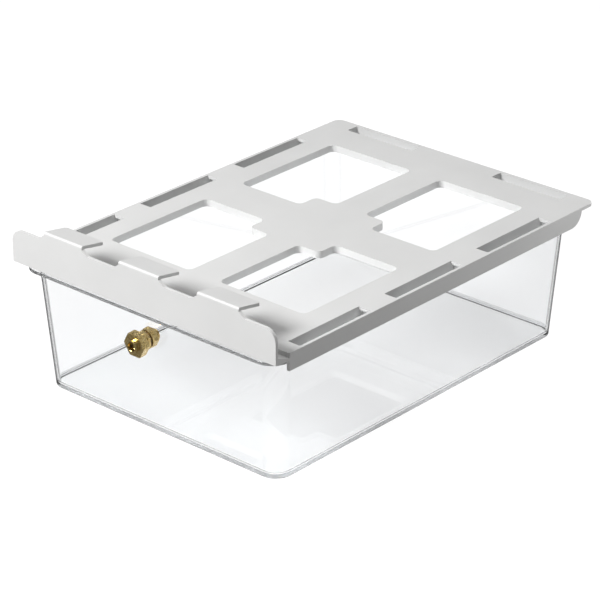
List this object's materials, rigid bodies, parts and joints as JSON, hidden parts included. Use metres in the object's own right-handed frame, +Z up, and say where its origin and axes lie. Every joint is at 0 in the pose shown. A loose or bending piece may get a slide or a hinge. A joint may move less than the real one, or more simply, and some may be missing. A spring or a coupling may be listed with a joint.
{
  "type": "fresh water tank",
  "caption": "Clear rectangular water tub with a rim flange, a white lift-off lid frame with four windows and a pull plate, and a brass compression outlet.",
  "frame": {"origin": "centre of the tub's flat underside", "axes": "+Z up, +Y from the pull plate towards the back of the lid, +X to the right seen from the front"},
  "size_m": [0.312, 0.4371, 0.1614],
  "materials": {
    "clear_plastic": "clear polycarbonate, polished",
    "white_plastic": "fine satin moulded",
    "gasket_rubber": "matt amber natural rubber",
    "brass": "machined"
  },
  "bodies": {
    "tank": {"tank_shell": "clear_plastic", "outlet_gasket": "gasket_rubber", "outlet_body": "brass", "outlet_inner_washer": "brass", "outlet_locknut": "brass", "outlet_olive": "brass"},
    "lid": {"lid_frame": "white_plastic"},
    "nut": {"outlet_nut": "brass"}
  },
  "joints": [
    {"name": "lid_lift", "type": "slide", "parent": "tank", "child": "lid", "axis": [0, 0, 1], "range_m": [0, 0.15]},
    {"name": "outlet_nut_turn", "type": "hinge", "parent": "tank", "child": "nut", "pos_m": [-0.008, -0.20971, 0.08729], "axis": [0, -0.9982, -0.0593], "range_deg": [0, 450]}
  ]
}
